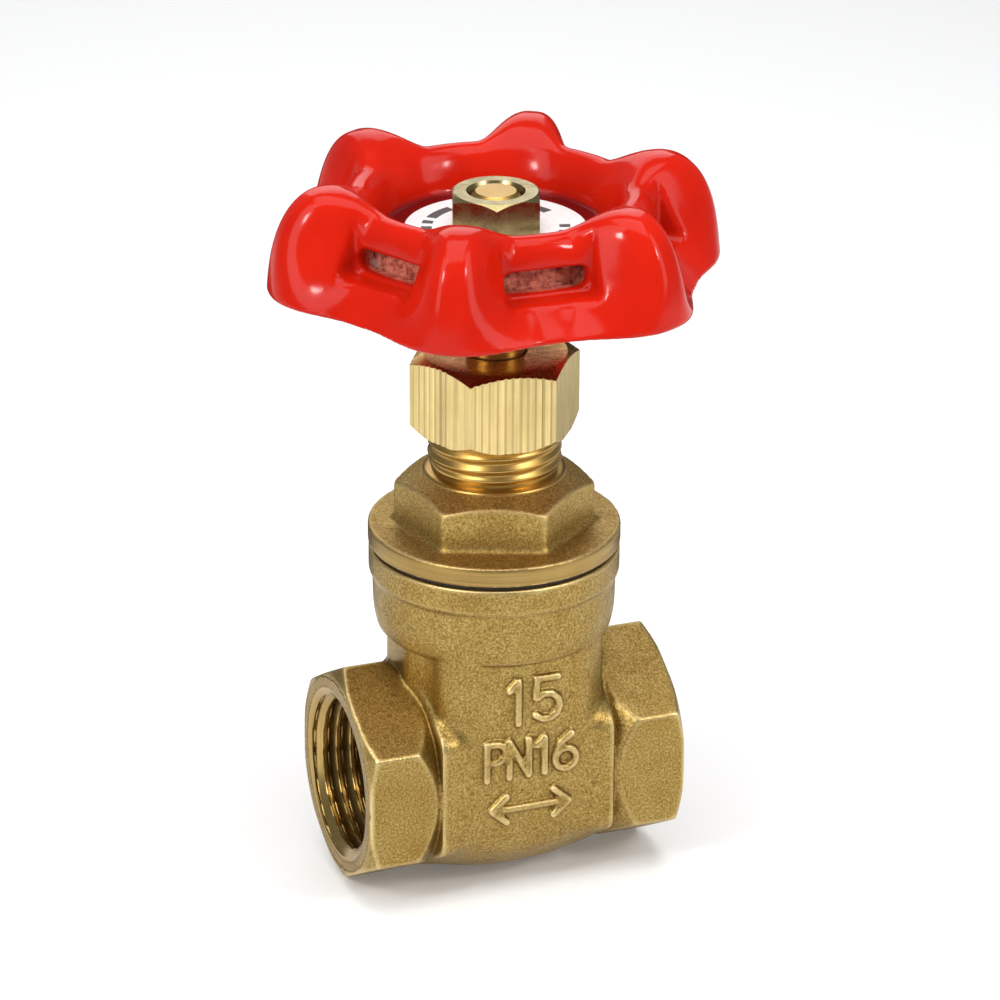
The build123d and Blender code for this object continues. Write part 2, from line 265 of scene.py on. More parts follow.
END_X = BODY_HIGH[0]
END_CORNER_R = -BODY_LOW[2]
END_HALF_FLATS = END_CORNER_R * math.cos(math.pi / 6)
END_FACE_R = 12.55  # inner edge of the cone turned on the end
END_CONE = 1.0  # length of that cone at the corners
GROOVE_R = 11.0
GROOVE_X = 10.2  # where the cone behind the hexagon meets the groove
END_START_X = 14.3  # where that cone meets the corners
COLLAR_X = 11.65
COLLAR_INNER_X = 6.8  # where the collar fades into the chamber
COLLAR_DRAFT = 0.03  # how much the face leans back for each millimetre away from the flow axis
COLLAR_FLATS = (12.55, 13.1, 12.3)  # distance to the front side and to the upper and lower sloping sides
BOWL_R = (BODY_HIGH[1] - BODY_LOW[1]) / 2
BOWL_FOOT = (14.3, 18.0)  # radius, height
BOWL_WALL = ((14.75, 19.3), (14.9, 24.2))  # the same, at the foot and the top of the wall
RING_H = 3.1  # height of the machined ring round the top of the body
BODY_TOP = BODY_HIGH[2]
PAD_Y = 12.6
CHAMBER_SIDE = ((12.8, 3.5), (10.65, 7.4))  # the slanting part of a side, seen from above
CHAMBER_TOP = 20.0
KEEL_R = 14.1  # of the chamber's round bottom, across the flow
KEEL_LENGTHWISE_R = 36.0
CAVITY_HALF = (7.5, 11.0)  # along and across the flow
CAVITY_CORNER_R = 3.5
CAVITY_BOTTOM_R = 11.4
CAVITY_TOP = 22.0
SOCKET_R = 12.25
SEAT_R = 8.6
SEAT_X = 4.88  # at the height of the flow axis
SEAT_LEAN = 3.0  # degrees
GUIDE_HALF_WIDTH = 1.0
GUIDE_INNER_Y = 9.4
GUIDE_HALF_HEIGHT = 17.2
BORE_R = 6.35
PORT_INNER_X = END_X - 10.0
PORT_CUT_R = 10.62
MARK_HEIGHT = 0.62


def flow_hexagon(y, z):
    """Bar along the flow axis with corners at top and bottom and flat sides towards the front and back."""
    slope = np.abs(y) * 0.5 + np.abs(z) * math.cos(math.pi / 6)
    return smooth_max(np.abs(y), slope, 0.25) - END_HALF_FLATS


def end_field(side, y, z, radius):
    """One hexagonal end, turned to a cone at both of its edges; side is the distance along the flow axis."""
    bar = flow_hexagon(y, z)
    inner_cone = line_side(radius, side, (GROOVE_R, GROOVE_X), (END_CORNER_R, END_START_X))
    outer_cone = line_side(radius, side, (END_CORNER_R, END_X - END_CONE), (END_FACE_R, END_X))
    field = smooth_max(bar, np.maximum(inner_cone, side - END_X), 0.25)
    return smooth_max(field, outer_cone, 0.2)


def collar_field(side, y, z):
    """Hexagonal collar over the seat, behind the groove; its face leans back with the casting's draft."""
    front, upper, lower = COLLAR_FLATS
    sloping = np.abs(y) * 0.5 + np.abs(z) * math.cos(math.pi / 6) - np.where(z > 0, upper, lower)
    outline = smooth_max(np.abs(y) - front, sloping, 1.4)
    face = side - COLLAR_X + COLLAR_DRAFT * np.abs(y)
    return smooth_max(smooth_max(outline, face, 0.5), COLLAR_INNER_X - side, 3.4)


def chamber_field(x, y, z):
    """Chamber with flat front and back, corners flush with the bowl, recessed sides and a barrel bottom."""
    side, front = np.abs(x), np.abs(y)
    end, recess = CHAMBER_SIDE
    slant = smooth_min(line_side(side, front, end, recess), side - recess[0], 0.9)
    plan = smooth_max(side - end[0], slant, 0.5)
    plan = smooth_max(plan, np.hypot(x, y) - BOWL_FOOT[0] - 0.05, 0.7)
    plan = smooth_max(plan, front - PAD_Y, 0.35)
    keel = np.where(z < 0, np.hypot(y, z), front) - KEEL_R + x * x / (2 * KEEL_LENGTHWISE_R)
    return np.maximum(smooth_max(plan, keel, 1.6), z - CHAMBER_TOP)


def bowl_field(radius, z):
    foot_r, foot_z = BOWL_FOOT
    wall = line_side(radius, z, BOWL_WALL[0], BOWL_WALL[1])
    turn_in = line_side(radius, z, BOWL_FOOT, BOWL_WALL[0])
    underside = line_side(radius, z, (foot_r - 2.3, foot_z - 1.0), BOWL_FOOT)
    bowl = smooth_max(smooth_max(wall, turn_in, 0.6), underside, 0.35)
    bowl = smooth_max(bowl, z - BODY_TOP, 0.3)
    foot = BODY_TOP - RING_H
    ring_foot = line_side(radius, z, (BOWL_WALL[1][0] - 0.2, foot - 1.0), (BOWL_R, foot))
    rim = smooth_max(smooth_max(radius - BOWL_R, ring_foot, 0.2), slab(z, foot - 1.0, BODY_TOP), 0.2)
    return smooth_min(bowl, rim, 0.15)


def body_inside(x, y, z, side, radius, flow_radius):
    """Chamber cavity with its seats and guide ribs, the bonnet's socket, the bore and the two ports."""
    room = rounded_rectangle(x, y, *CAVITY_HALF, CAVITY_CORNER_R)
    keel = np.where(z < 0, np.hypot(y, z), np.abs(y)) - CAVITY_BOTTOM_R
    room = np.maximum(np.maximum(room, keel), z - CAVITY_TOP)
    between_seats = side - SEAT_X - z * math.tan(math.radians(SEAT_LEAN))
    seats = np.maximum(flow_radius - SEAT_R, -between_seats)
    guides = np.maximum(side - GUIDE_HALF_WIDTH, GUIDE_INNER_Y - np.abs(y))
    guides = np.maximum(guides, np.abs(z) - GUIDE_HALF_HEIGHT)
    room = np.maximum(np.maximum(room, -seats), -guides)
    socket = np.maximum(radius - SOCKET_R, slab(z, CAVITY_TOP, BODY_TOP + 1))
    bore = flow_radius - BORE_R
    port = np.maximum(flow_radius - PORT_CUT_R, PORT_INNER_X - side)
    return np.minimum(np.minimum(room, socket), np.minimum(bore, port))


def arc_points(centre, radius, start, end, count=9):
    """Points along an arc; angles in degrees from the u axis."""
    angles = np.radians(np.linspace(start, end, count))
    return [(centre[0] + radius * math.cos(a), centre[1] + radius * math.sin(a)) for a in angles]


def glyph_strokes(character):
    """Strokes of a plain numeral, letter or two-way arrow in a cell one unit high."""
    if character == "1":
        return [[(-0.14, 0.80), (0.06, 1.0), (0.06, 0.0)]]
    if character == "5":
        bowl = arc_points((0.0, 0.32), 0.31, 135, -140)
        return [[(0.26, 1.0), (-0.22, 1.0), (-0.25, 0.56)] + bowl]
    if character == "6":
        return [arc_points((0.0, 0.31), 0.29, 0, 360, 17), [(-0.28, 0.38), (-0.14, 0.78), (0.16, 1.0)]]
    if character == "P":
        return [[(-0.24, 0.0), (-0.24, 1.0), (0.02, 1.0)] + arc_points((0.02, 0.74), 0.26, 90, -90)
                + [(-0.24, 0.48)]]
    if character == "N":
        return [[(-0.27, 0.0), (-0.27, 1.0), (0.27, 0.0), (0.27, 1.0)]]
    shaft = [(-1.0, 0.5), (1.0, 0.5)]
    heads = [[(s * 0.62, 0.84), (s * 1.0, 0.5), (s * 0.62, 0.16)] for s in (-1, 1)]
    return [shaft] + heads


# Rows of raised marks on the front pad: text, height of the foot, cell height, pitch; "=" is the arrow
MARK_ROWS = (("15", 9.6, 5.6, 4.0), ("PN16", 2.5, 4.7, 3.05), ("=", -4.3, 5.0, 1.0))
STROKE_HALF = 0.52


def marks_distance(x, z):
    """Distance in the plane of the pad to the nearest stroke of the raised marks."""
    nearest = np.full(np.broadcast(x, z).shape, 99.0)
    for text, foot, height, pitch in MARK_ROWS:
        start = -(len(text) - 1) * pitch / 2
        for place, character in enumerate(text):
            u = (x - start - place * pitch) / height
            v = (z - foot) / height
            for stroke in glyph_strokes(character):
                for a, b in zip(stroke, stroke[1:]):
                    nearest = np.minimum(nearest, segment_distance(u, v, a, b) * height)
    return nearest


def body_field(x, y, z):
    side = np.abs(x)
    radius = np.hypot(x, y)
    flow_radius = np.hypot(y, z)
    core = np.maximum(flow_radius - GROOVE_R, side - END_X + 1)
    ends = smooth_min(end_field(side, y, z, flow_radius), core, 0.4)
    field = smooth_min(chamber_field(x, y, z), bowl_field(radius, z), 0.25)
    field = smooth_min(field, collar_field(side, y, z), 1.1)
    field = smooth_min(field, ends, 0.4)
    marks = smooth_max(marks_distance(x, z) - STROKE_HALF, np.abs(y + PAD_Y) - MARK_HEIGHT, 0.45)
    field = smooth_min(field, marks, 0.2)
    return np.maximum(field, -body_inside(x, y, z, side, radius, flow_radius))


def make_body(material):
    vertices, quads = mesh_field(body_field, BODY_LOW, BODY_HIGH, BODY_STEP, 1)
    vertices = np.clip(vertices, BODY_LOW, BODY_HIGH)
    piece = add_piece("valve_body_casting", vertices, quads.tolist(), material, ROOT_BODY,
                      ("body",))
    store_bends(piece, bend_values(vertices, quads))
    thin_out(piece, 180000)
    return piece


# ---- machined port threads, lofted as rings along the flow axis ----

PIPE_PITCH = 1.814
PIPE_MINOR_R = 9.35
PIPE_DEPTH = 1.05
PORT_MOUTH_R = 10.7


def thread_rise(turns):
    """Height of a rounded V thread, 0 at its root and 1 at its crest, by turns along it."""
    phase = turns - np.floor(turns)
    return np.clip((0.5 - np.abs(phase - 0.5)) * 2 * 1.25 - 0.125, 0, 1)


def flow_ring(x, radius):
    angle = np.linspace(0, 2 * math.pi, AROUND, endpoint=False)
    radius = np.broadcast_to(radius, angle.shape)
    return np.stack([np.full_like(angle, x), radius * np.cos(angle), radius * np.sin(angle)], axis=1)


def make_port_thread(name, side, material):
    """Threaded sleeve inside one end: its outside is buried in the casting."""
    angle = np.linspace(0, 2 * math.pi, AROUND, endpoint=False)
    mouth_x = END_X - 0.02
    inner_x = PORT_INNER_X - 0.1
    rings = [flow_ring(side * inner_x, BORE_R + 0.2), flow_ring(side * inner_x, PIPE_MINOR_R + PIPE_DEPTH)]
    stations = np.arange(PORT_INNER_X + 0.6, mouth_x - 0.05, PIPE_PITCH / RINGS_A_PITCH)
    for x in stations:
        rise = thread_rise(x / PIPE_PITCH - side * angle / (2 * math.pi))
        fade = min(1.0, (x - PORT_INNER_X - 0.5) / 1.2)
        radius = PIPE_MINOR_R + PIPE_DEPTH * (1 - rise * fade)
        chamfer = PORT_MOUTH_R - (mouth_x - x) * 1.8
        rings.append(flow_ring(side * x, np.maximum(radius, chamfer)))
    rings.append(flow_ring(side * mouth_x, PORT_MOUTH_R))
    rings.append(flow_ring(side * mouth_x, PORT_MOUTH_R + 0.15))
    rings.append(flow_ring(side * (inner_x - 0.4), PORT_MOUTH_R + 0.15))
    rings.append(flow_ring(side * (inner_x - 0.4), BORE_R + 0.2))
    if side > 0:
        rings = rings[::-1]
    vertices, quads = loft(rings)
    return add_piece(name, vertices, quads, material, ROOT_BODY, sharp_angle=40)


# ---- bonnet: cast flange, hexagon and shoulder, with a machined threaded neck ----

FLANGE_R = BONNET_HIGH[0]
FLANGE_LOW = node_box("bonnet_gasket")[1][2]
FLANGE_TOP = 31.26
BONNET_TURN = -21.0
BONNET_HALF_FLATS = 21.4 / 2
SHOULDER = ((12.2, 36.1), (8.7, 37.9))  # radius, height: from the hexagon up to the neck
SHOULDER_TOP = SHOULDER[1][1]
SKIRT_R = 12.2
NECK_TOP = BONNET_HIGH[2]
BONNET_BORES = ((9.8, 30.0), (7.53, 32.43), (6.5, 35.6), (STEM_HOLE_R, NECK_TOP))  # radius, top
NECK_R = 8.15
NECK_PITCH = 1.5
NECK_THREAD_DEPTH = 0.36
NECK_BEAD = ((8.7, -0.3), (8.74, 0.1), (8.6, 0.3), (8.2, 0.42), (7.75, 0.55))  # radius, height over the foot
STUFFING_BOX = (6.3, 40.0)  # radius, height of its floor


def plan_direction(turn):
    """Unit direction in plan, turned from -Y about the stem axis by an angle in degrees."""
    angle = math.radians(turn)
    return math.sin(angle), -math.cos(angle)


def stem_hexagon(x, y, half_flats, face_turn):
    """Upright hexagonal bar with one side facing the given turn."""
    sides = []
    for k in range(3):
        u, v = plan_direction(face_turn + 60 * k)
        sides.append(np.abs(x * u + y * v))
    return smooth_max(smooth_max(sides[0], sides[1], 0.12), sides[2], 0.12) - half_flats


def bonnet_field(x, y, z):
    radius = np.hypot(x, y)
    flange = smooth_max(radius - FLANGE_R, slab(z, FLANGE_LOW, FLANGE_TOP), 0.3)
    corner, foot = SHOULDER
    turned = smooth_max(radius - corner[0], line_side(radius, z, corner, foot), 0.3)
    prism = smooth_max(stem_hexagon(x, y, BONNET_HALF_FLATS, BONNET_TURN), turned, 0.15)
    prism = np.maximum(prism, slab(z, FLANGE_LOW + 0.5, SHOULDER_TOP + 0.5))
    outside = smooth_min(flange, prism, 1.1)
    skirt = np.maximum(radius - SKIRT_R, slab(z, BONNET_LOW[2], FLANGE_LOW + 0.5))
    field = np.minimum(outside, skirt)
    for bore_r, top in BONNET_BORES:
        field = np.maximum(field, -np.maximum(radius - bore_r, z - top))
    return field


def make_bonnet(material, machined):
    """Casting of the bonnet below its neck, with the rim of the flange in machined brass."""
    high = np.array([BONNET_HIGH[0], BONNET_HIGH[1], SHOULDER_TOP + 0.5])
    vertices, quads = mesh_field(bonnet_field, BONNET_LOW, high, BONNET_STEP, 1)
    vertices = np.clip(vertices, BONNET_LOW, BONNET_HIGH)
    piece = add_piece("bonnet_casting", vertices, quads.tolist(), material, ROOT_BODY,
                      ("bonnet",))
    store_bends(piece, bend_values(vertices, quads))
    thin_out(piece, 150000)
    mesh = piece.data
    mesh.materials.append(machined)
    for polygon in mesh.polygons:
        centre = polygon.center / MM
        if math.hypot(centre.x, centre.y) > FLANGE_R - 0.12 and abs(polygon.normal.z) < 0.5:
            polygon.material_index = 1
    return piece


def stem_ring(z, radius, count=AROUND):
    angle = np.linspace(0, 2 * math.pi, count, endpoint=False)
    radius = np.broadcast_to(radius, angle.shape)
    return np.stack([radius * np.cos(angle), radius * np.sin(angle), np.full(count, z)], axis=1)


def make_neck(material):
    """Threaded neck with the stuffing box inside and a turned bead at its foot."""
    angle = np.linspace(0, 2 * math.pi, AROUND, endpoint=False)
    buried = BONNET_BORES[2][1] + 0.1
    rings = [stem_ring(buried, STEM_HOLE_R), stem_ring(buried, 7.4), stem_ring(SHOULDER_TOP - 0.9, 8.3)]
    rings += [stem_ring(SHOULDER_TOP + height, radius) for radius, height in NECK_BEAD]
    start = SHOULDER_TOP + 0.9
    for z in np.arange(start, NECK_TOP - 0.3, NECK_PITCH / RINGS_A_PITCH):
        rise = thread_rise(z / NECK_PITCH - angle / (2 * math.pi))
        fade = min(1.0, (z - start) / 0.8)
        rings.append(stem_ring(z, NECK_R - NECK_THREAD_DEPTH * (1 - rise * fade)))
    box_r, floor = STUFFING_BOX
    rings += [stem_ring(NECK_TOP, 7.5), stem_ring(NECK_TOP, box_r)]
    rings += [stem_ring(floor, box_r), stem_ring(floor, STEM_HOLE_R)]
    vertices, quads = loft(rings)
    return add_piece("bonnet_neck", vertices, quads, material, ROOT_BODY, sharp_angle=50)


# ---- packing nut: extruded hexagon with fine upright striations, turned at both ends ----

NUT_CORNER_R = 10.55
NUT_TURN = -37.0
NUT_FACE_R = (9.3, 8.7)  # of the flat faces at the bottom and at the top
NUT_CONE = (1.1, 1.0)  # heights of the cones turned on the corners
NUT_STEM_HOLE_R = 3.8
NUT_CAVITY = (8.2, 50.3)  # radius, top
REED_PITCH = 0.95
REED_DEPTH = 0.14
REED_HALF_WIDTH = 4.7  # of the ridged part of a face
REED_STRENGTH = (1.0, 0.0, 0.8, 0.1, 1.0, 0.85)  # on each face, from the one at the front round by the right
NUT_BOTTOM, NUT_TOP = NUT_LOW[2], NUT_HIGH[2]


def smooth_noise(count, waves, seed):
    """Periodic noise along a loop: a sum of sines of random phase and strength, between about -1 and 1."""
    dice = np.random.default_rng(seed)
    turn = np.linspace(0, 2 * math.pi, count, endpoint=False)
    total = np.zeros(count)
    for wave in waves:
        total += dice.uniform(0.4, 1.0) * np.sin(wave * turn + dice.uniform(0, 2 * math.pi))
    return total / np.abs(total).max()


def nut_outline():
    """Radius all round the nut, and how deep the upright grooves cut into it. The last face is ridged on
    one half only."""
    angle = np.linspace(0, 2 * math.pi, NUT_AROUND, endpoint=False)
    flats = NUT_CORNER_R * math.cos(math.pi / 6)
    from_corner = angle - math.radians(NUT_TURN - 90)
    fold = np.mod(from_corner, math.pi / 3) - math.pi / 6
    hexagon = flats / np.cos(fold)
    along_flat = flats * np.tan(fold)
    phase = along_flat / REED_PITCH + 0.09 * smooth_noise(NUT_AROUND, range(20, 60, 7), 4)
    grooves = np.clip(np.cos(2 * math.pi * phase) * 1.3 - 0.1, 0, 1)
    face = np.floor(np.mod(from_corner, 2 * math.pi) / (math.pi / 3)).astype(int) % 6
    strength = np.take(REED_STRENGTH, face) * (0.78 + 0.35 * smooth_noise(NUT_AROUND, (5, 8, 13), 9))
    smooth_half = np.where(face == 5, np.clip((along_flat - 0.6) / 1.2, 0, 1), 0)
    plain = np.maximum(np.clip((np.abs(along_flat) - REED_HALF_WIDTH) / 0.4, 0, 1), smooth_half)
    groove_depth = REED_DEPTH * grooves * strength * (1 - plain)
    return hexagon - groove_depth, groove_depth


def nut_rings(levels):
    """Plain rings of the nut from (height, radius) pairs."""
    return [stem_ring(z, radius, NUT_AROUND) for z, radius in levels]


def make_packing_nut(material, machined):
    """The nut lofted from its cavity round the outside to the stem's hole, with its top in another brass."""
    hexagon, groove_depth = nut_outline()
    cavity_r, cavity_top = NUT_CAVITY
    rings = nut_rings(((cavity_top, NUT_STEM_HOLE_R), (cavity_top, cavity_r),
                       (NUT_BOTTOM, cavity_r), (NUT_BOTTOM, NUT_FACE_R[0] - 0.3)))
    bends = [np.zeros(NUT_AROUND)] * len(rings)
    levels = list(np.linspace(NUT_BOTTOM + 0.02, NUT_BOTTOM + 1.3, 20))
    levels += list(np.linspace(NUT_BOTTOM + 1.6, NUT_TOP - 1.3, 8))
    levels += list(np.linspace(NUT_TOP - 1.1, NUT_TOP - 0.02, 24))
    slopes = [(NUT_CORNER_R - face) / height for face, height in zip(NUT_FACE_R, NUT_CONE)]
    for z in levels:
        lower_cone = NUT_FACE_R[0] + (z - NUT_BOTTOM) * slopes[0]
        upper_cone = NUT_FACE_R[1] + (NUT_TOP - z) * slopes[1]
        cone = np.minimum(lower_cone, upper_cone)
        rings.append(stem_ring(z, np.minimum(hexagon, cone), NUT_AROUND))
        # The grooves get a negative bend, which the material turns into painted shade.
        bends.append(np.where(cone > hexagon, -groove_depth, 0.0))
    top = nut_rings(((NUT_TOP, NUT_FACE_R[1] - 0.05), (NUT_TOP, 7.0),
                     (NUT_TOP, NUT_STEM_HOLE_R + 0.15), (NUT_TOP - 0.15, NUT_STEM_HOLE_R)))
    rings += top
    bends += [np.zeros(NUT_AROUND)] * len(top)
    vertices, quads = loft(rings)
    piece = add_piece("packing_nut_turned", vertices, quads, material, ROOT_BODY,
                      ("packing_nut",), 35)
    store_bends(piece, np.concatenate(bends))
    piece.data.materials.append(machined)
    for polygon in piece.data.polygons:
        if polygon.normal.z > 0.8:
            polygon.material_index = 1
    return piece


# ---- handwheel: six lobes round a dished web, cast hollow underneath ----

LOBES = 6
LOBE_TURN = -32.4
WHEEL_BOTTOM = WHEEL_LOW[2]
RIM_BOTTOM = 63.2
WEB_TOP = PLATE_LOW[2]
WEB_BOTTOM = 66.2
RECESS_R = 13.5
LOBE_CREST = (20.6, 76.3)  # radius, height
LOBE_CREST_WIDTH = 1.4  # degrees from the middle of a lobe to the edge of its crest
LOBE_HALF_WIDTH = (17, 28)  # degrees, at the crest and at the foot
LOBE_CREST_REACH = 20  # degrees over which the crest sinks into the valleys
VALLEY_CREST = (16.6, 74.0)
LOBE_FOOT_R = 28.0
VALLEY_FOOT_R = 24.8
VALLEY_WALL_R = 19.6
PANEL_R = 18.5
RIDGE_POWER = 2.3  # 2 makes the ridge's section elliptical, and more makes it squarer
RIDGE_SIZE = 7.0
RIDGE_INNER_SHARE = 0.93  # how far down the ridge's inner flank the recess cuts in
WALL = 2.2
HUB_R = 7.0
PLATE_SEAT_R = 12.4
WINDOW = (5.2, 67.45, 70.25)  # half width, bottom, top
WINDOW_BACK_R = 15.9
PANEL_TOP_Z = 75.0


def lobe_share(angle, half_width):
    """1 near the middle of a lobe and 0 beyond half_width degrees from it."""
    pitch = 360 / LOBES
    offset = np.mod(np.degrees(angle) - (LOBE_TURN - 90) + pitch / 2, pitch) - pitch / 2
    reach = np.clip((np.abs(offset) - LOBE_CREST_WIDTH) / (half_width - LOBE_CREST_WIDTH), 0, 1)
    return 0.5 + 0.5 * np.cos(math.pi * reach)


def wheel_outside(radius, angle, z):
    """Rim as a rounded ridge whose crest and foot swing in and out with the lobes."""
    drop = np.clip((LOBE_CREST[1] - z) / (LOBE_CREST[1] - RIM_BOTTOM), 0, 1)
    top_width, foot_width = LOBE_HALF_WIDTH
    share = lobe_share(angle, top_width + (foot_width - top_width) * drop ** 1.5)
    crest_share = lobe_share(angle, LOBE_CREST_REACH)
    crest_r = VALLEY_CREST[0] + (LOBE_CREST[0] - VALLEY_CREST[0]) * crest_share
    crest_z = VALLEY_CREST[1] + (LOBE_CREST[1] - VALLEY_CREST[1]) * crest_share
    height = crest_z - RIM_BOTTOM
    valley_r = VALLEY_WALL_R + (VALLEY_FOOT_R - VALLEY_WALL_R) * drop ** 3
    foot_r = valley_r + (LOBE_FOOT_R - valley_r) * share
    outer = foot_r - crest_r
    inner = (crest_r - RECESS_R) / RIDGE_INNER_SHARE
    across = np.where(radius > crest_r, (radius - crest_r) / outer, (crest_r - radius) / inner)
    up = np.clip((z - RIM_BOTTOM) / height, 0, None)
    return ((across ** RIDGE_POWER + up ** RIDGE_POWER) ** (1 / RIDGE_POWER) - 1) * RIDGE_SIZE


def true_distance(field, step):
    """Divides a field by the length of its own slope, so that it measures distance near its surface."""
    slope = np.gradient(field, step)
    length = np.sqrt(slope[0] ** 2 + slope[1] ** 2 + slope[2] ** 2)
    return field / np.clip(length, 0.2, None)


def wheel_windows(x, y, z):
    """Six slots through the rim and the shallow flat panels round them, one in each valley."""
    slots = np.full(np.broadcast(x, y, z).shape, 99.0)
    panels = slots.copy()
    half, low, high = WINDOW
    for k in range(LOBES):
        u, v = plan_direction(LOBE_TURN + (k + 0.5) * 360 / LOBES)
        out = x * u + y * v
        across = -x * v + y * u
        slot = rounded_rectangle(across, z - (low + high) / 2, half, (high - low) / 2, 1.2)
        slots = np.minimum(slots, np.maximum(slot, WINDOW_BACK_R - out))
        panel = rounded_rectangle(across, z - PANEL_TOP_Z, half + 0.5, PANEL_TOP_Z - low + 0.45, 1.2)
        panels = np.minimum(panels, smooth_max(panel, PANEL_R - out, 0.4))
    return slots, panels


def handwheel_field(x, y, z):
    radius = np.hypot(x, y)
    angle = np.arctan2(y, x)
    outside = true_distance(wheel_outside(radius, angle, z), WHEEL_STEP)
    slots, panels = wheel_windows(x, y, z)
    outside = smooth_max(outside, -panels, 0.6)
    foot = RIM_BOTTOM - z
    shell = smooth_max(outside, foot, 0.75)
    hollow = smooth_max(outside + WALL, RECESS_R + 2.2 - radius, 0.8)
    shell = smooth_max(shell, -hollow, 0.5)
    web = smooth_max(radius - RECESS_R - 2.5, slab(z, WEB_BOTTOM, WEB_TOP), 0.2)
    field = smooth_min(shell, web, 0.8)
    hub = smooth_max(radius - HUB_R, slab(z, WHEEL_BOTTOM, WEB_TOP), 0.4)
    field = smooth_min(field, hub, 1.0)
    plate_seat = np.maximum(radius - PLATE_SEAT_R, WEB_TOP - z)
    field = np.maximum(field, -plate_seat)
    field = smooth_max(field, -slots, 0.5)
    return np.maximum(field, STEM_HOLE_R - radius)


def make_handwheel(material):
    vertices, quads = mesh_field(handwheel_field, WHEEL_LOW, WHEEL_HIGH, WHEEL_STEP, 4)
    vertices = np.clip(vertices, WHEEL_LOW, WHEEL_HIGH)
    piece = add_piece("handwheel_casting", vertices, quads.tolist(), material, SPINDLE_BODY,
                      ("handwheel",))
    thin_out(piece, 180000)
    return piece


# ---- print on the plate: two arrows round the nut with a row of dashes before each, a generic pattern ----

PRINT_T = 0.03
PRINT_R = (7.6, 8.9)
PRINT_ARROWS = (20, 200)  # degrees to the tail of each arrow
PRINT_SHAFT = 55  # degrees
PRINT_HEAD = (1.3, 14)  # half width in millimetres and length in degrees
PRINT_DASHES = ((90, 118), (125, 132), (139, 146))  # degrees from the tail of the arrow


def print_band(start, end):
    """Outline of an arc-shaped patch; angles in degrees."""
    angles = np.radians(np.linspace(start, end, 40))
    inner, outer = PRINT_R
    rim = [(outer * math.cos(a), outer * math.sin(a)) for a in angles]
    rim += [(inner * math.cos(a), inner * math.sin(a)) for a in angles[::-1]]
    return rim


def print_arrow_head(angle):
    """Triangle at the end of an arrow's shaft, pointing along it."""
    middle = (PRINT_R[0] + PRINT_R[1]) / 2
    width, length = PRINT_HEAD
    a = math.radians(angle)
    tip = math.radians(angle + length)
    points = [(middle + width, a), (middle, tip), (middle - width, a)]
    return [(r * math.cos(t), r * math.sin(t)) for r, t in points]


def make_plate_print(material):
    outlines = []
    for tail in PRINT_ARROWS:
        outlines.append(print_band(tail, tail + PRINT_SHAFT))
        outlines.append(print_arrow_head(tail + PRINT_SHAFT))
        outlines += [print_band(tail + start, tail + end) for start, end in PRINT_DASHES]
    vertices, faces = [], []
    low = PLATE_HIGH[2]
    for outline in outlines:
        first = len(vertices)
        count = len(outline)
        vertices += [(x, y, low) for x, y in outline]
        vertices += [(x, y, low + PRINT_T) for x, y in outline]
        lower = list(range(first, first + count))
        upper = [k + count for k in lower]
        faces += [upper, lower[::-1]]
        for k in range(count):
            after = (k + 1) % count
            faces.append([lower[k], lower[after], upper[after], upper[k]])
    return add_piece("id_plate_print", vertices, faces, material, SPINDLE_BODY, sharp_angle=30)


# ---- materials ----

def new_material(name):
    material = bpy.data.materials.new(name)
    material.use_nodes = True
    return material, material.node_tree.nodes, material.node_tree.links


def add_node(nodes, kind, **settings):
    """Adds a node; keyword settings set its properties, and inputs is a dictionary of socket values."""
    node = nodes.new(kind)
    inputs = settings.pop("inputs", {})
    for key, value in settings.items():
        setattr(node, key, value)
    for key, value in inputs.items():
        node.inputs[key].default_value = value
    return node


def noise(nodes, links, vector, scale, detail=3.0, roughness=0.6):
    node = add_node(nodes, "ShaderNodeTexNoise",
                    inputs={"Scale": scale, "Detail": detail, "Roughness": roughness})
    links.new(vector, node.inputs["Vector"])
    return node.outputs["Fac"]


def ramp(nodes, links, value, stops):
    """Colour ramp from (position, colour) pairs."""
    node = add_node(nodes, "ShaderNodeValToRGB")
    elements = node.color_ramp.elements
    while len(elements) < len(stops):
        elements.new(0.5)
    for element, (position, colour) in zip(elements, stops):
        element.position = position
        element.color = (*colour, 1.0)
    links.new(value, node.inputs["Fac"])
    return node.outputs["Color"]


def remap(nodes, links, value, low, high, to_low, to_high):
    node = add_node(nodes, "ShaderNodeMapRange", inputs={
        "From Min": low, "From Max": high, "To Min": to_low, "To Max": to_high})
    links.new(value, node.inputs["Value"])
    return node.outputs["Result"]


def bump(nodes, links, height, distance, strength=1.0, after=None):
    node = add_node(nodes, "ShaderNodeBump", inputs={"Strength": strength, "Distance": distance})
    links.new(height, node.inputs["Height"])
    if after is not None:
        links.new(after, node.inputs["Normal"])
    return node.outputs["Normal"]


def mix_colour(nodes, links, factor, first, second, mode="MIX"):
    node = add_node(nodes, "ShaderNodeMix", data_type="RGBA", blend_type=mode)
    if hasattr(factor, "links"):
        links.new(factor, node.inputs[0])
    else:
        node.inputs[0].default_value = factor
    for socket, value in ((node.inputs[6], first), (node.inputs[7], second)):
        if hasattr(value, "links"):
            links.new(value, socket)
        else:
            socket.default_value = (*value, 1.0)
    return node.outputs[2]


def object_coordinates(nodes):
    return add_node(nodes, "ShaderNodeTexCoord").outputs["Object"]


def bend(nodes, links, low, high):
    """0 where the stored bend of the surface is at low, and 1 where it is at high."""
    value = add_node(nodes, "ShaderNodeAttribute", attribute_name="bend").outputs["Fac"]
    return remap(nodes, links, value, low, high, 0.0, 1.0)


